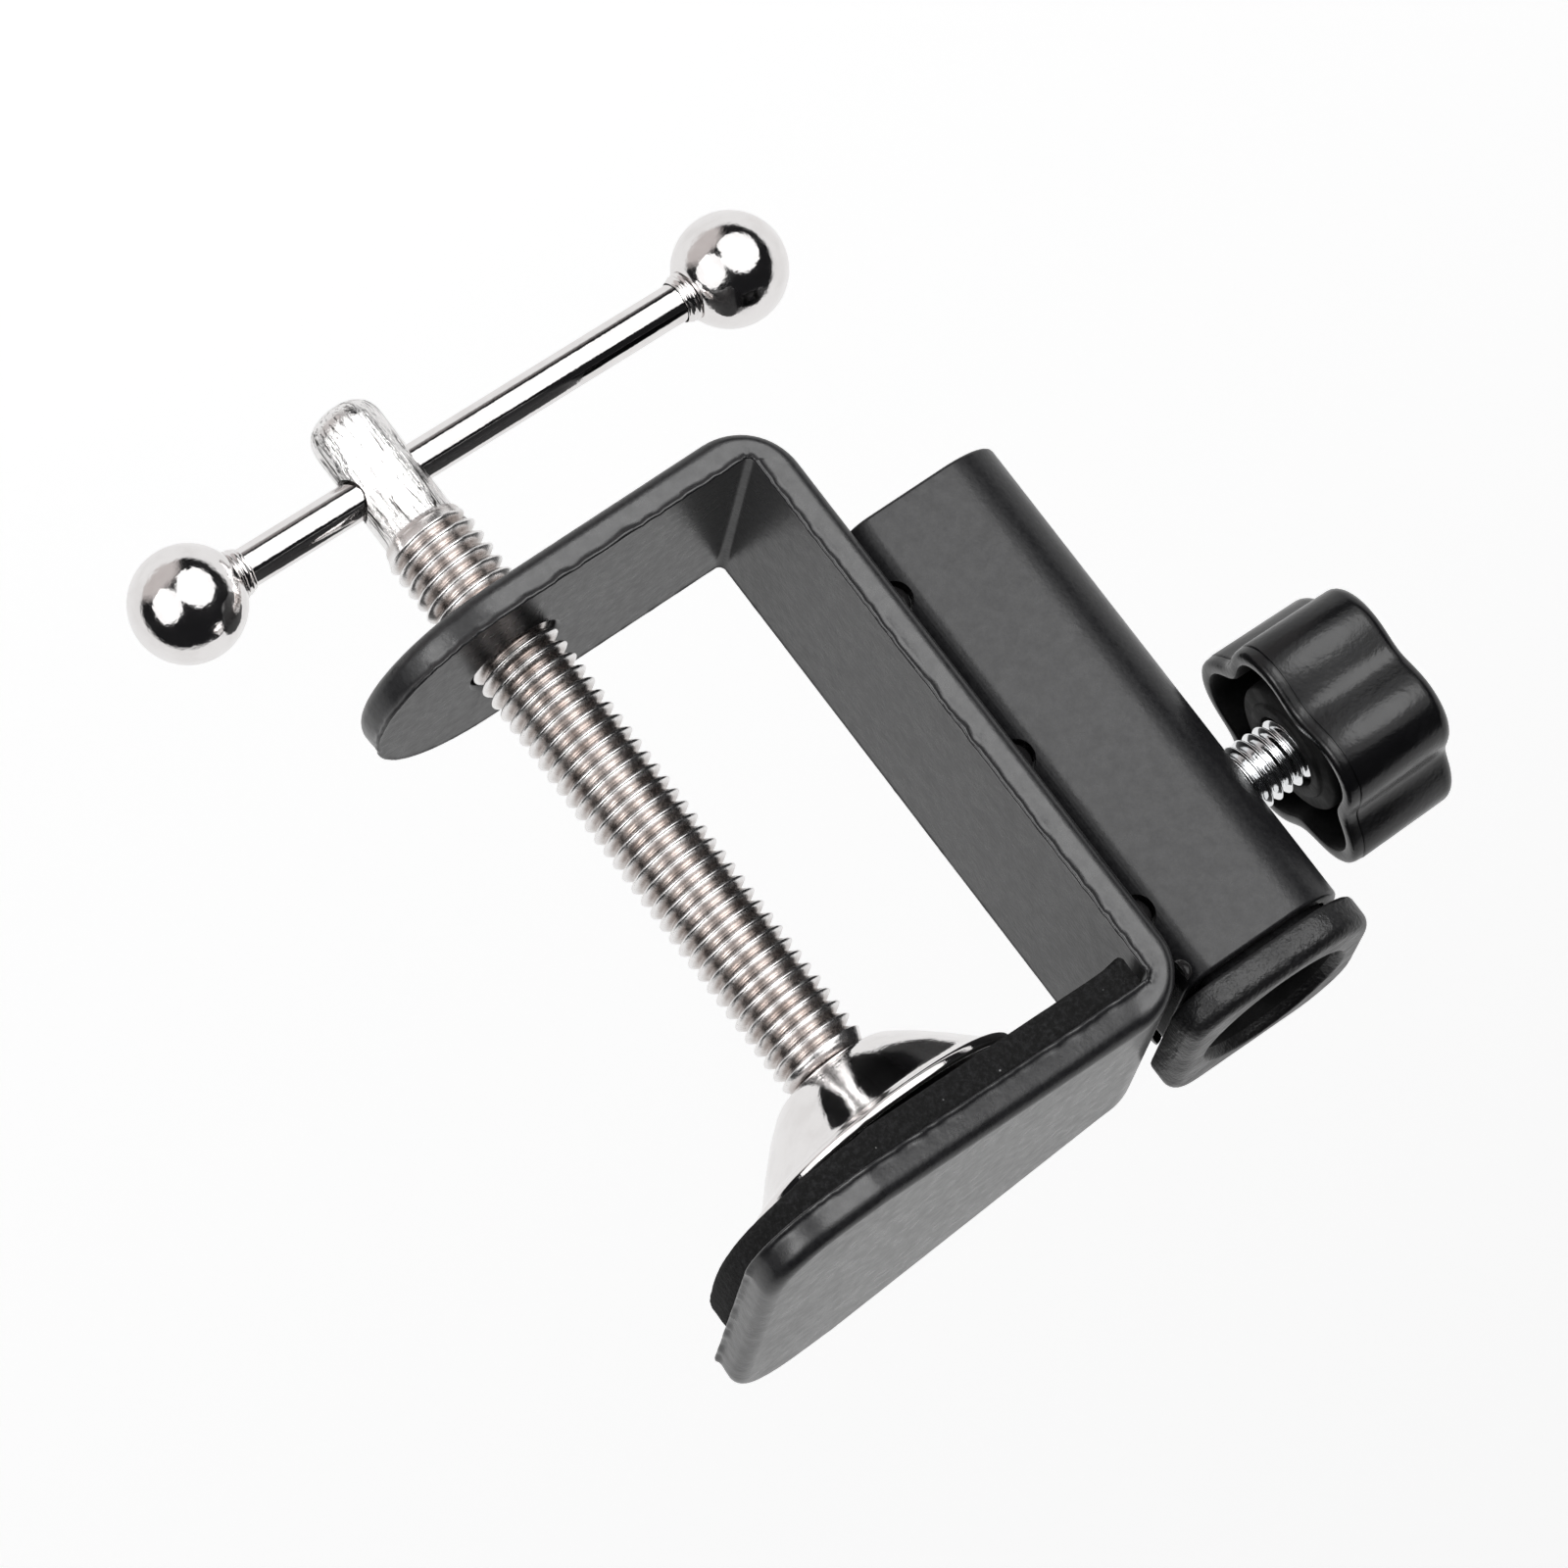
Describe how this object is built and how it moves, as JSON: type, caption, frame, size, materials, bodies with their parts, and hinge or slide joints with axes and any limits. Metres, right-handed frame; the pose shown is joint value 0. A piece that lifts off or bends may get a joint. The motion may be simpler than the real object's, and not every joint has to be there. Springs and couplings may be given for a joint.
{
  "type": "desk C-clamp with an arm socket",
  "caption": "Small black steel desk clamp: bent C frame, foam-lined jaw, T-bar screw with swivel pad, and a lined square socket with a lobed locking knob.",
  "frame": {"origin": "clamping screw's axis at the inner face of the frame's arm", "axes": "+Z along the screw towards the jaw, +X towards the back plate, socket tube and knob, Y across the strip"},
  "size_m": [0.0801, 0.0366, 0.0825],
  "materials": {
    "powder_coated_steel": "satin black powder coat",
    "coated_weld": "glossy pooled paint over weld metal",
    "plated_steel": "bright nickel plate with fine scratches",
    "zinc_steel": "bright zinc plate",
    "moulded_plastic": "satin, fine pebble",
    "nylon": "natural nylon",
    "foam": "matt closed-cell foam"
  },
  "bodies": {
    "frame": {"c_frame": "powder_coated_steel", "jaw_foam_pad": "foam", "arm_tube": "powder_coated_steel", "tube_liner": "moulded_plastic", "weld_bead_near_1": "coated_weld", "weld_bead_near_2": "coated_weld", "weld_bead_near_3": "coated_weld", "weld_bead_near_4": "coated_weld", "weld_bead_far_1": "coated_weld", "weld_bead_far_2": "coated_weld", "weld_bead_far_3": "coated_weld", "weld_bead_far_4": "coated_weld"},
    "pad": {"swivel_pad": "plated_steel"},
    "screw": {"clamp_screw": "plated_steel", "pad_retainer": "zinc_steel"},
    "t_bar": {"t_bar_rod": "plated_steel", "t_bar_ball_left": "plated_steel", "t_bar_ball_right": "plated_steel", "t_bar_collar_left": "plated_steel", "t_bar_collar_right": "plated_steel"},
    "thrust_tip": {"stud_tip": "nylon"},
    "locking_knob": {"knob_body": "moulded_plastic", "knob_stud": "zinc_steel"}
  },
  "joints": [
    {"name": "clamp_travel", "type": "slide", "parent": "frame", "child": "pad", "axis": [0, 0, 1], "range_m": [-0.039, 0]},
    {"name": "screw_turn", "type": "hinge", "parent": "pad", "child": "screw", "pos_m": [0, 0, 0], "axis": [0, 0, 1], "range_deg": [-11225, 0]},
    {"name": "bar_slide", "type": "slide", "parent": "screw", "child": "t_bar", "axis": [0.9976, -0.0698, 0], "range_m": [-0.025, 0.0096]},
    {"name": "knob_travel", "type": "slide", "parent": "frame", "child": "thrust_tip", "axis": [-1, 0, 0], "range_m": [-0.001, 0.003]},
    {"name": "knob_turn", "type": "hinge", "parent": "thrust_tip", "child": "locking_knob", "pos_m": [0, 0, 0.0413], "axis": [-1, 0, 0], "range_deg": [-359, 1079]}
  ],
  "couplings": [
    {"joint": "clamp_travel", "follows": "screw_turn", "m_per_rad": 0.00019894},
    {"joint": "knob_travel", "follows": "knob_turn", "m_per_rad": 0.00015915}
  ]
}
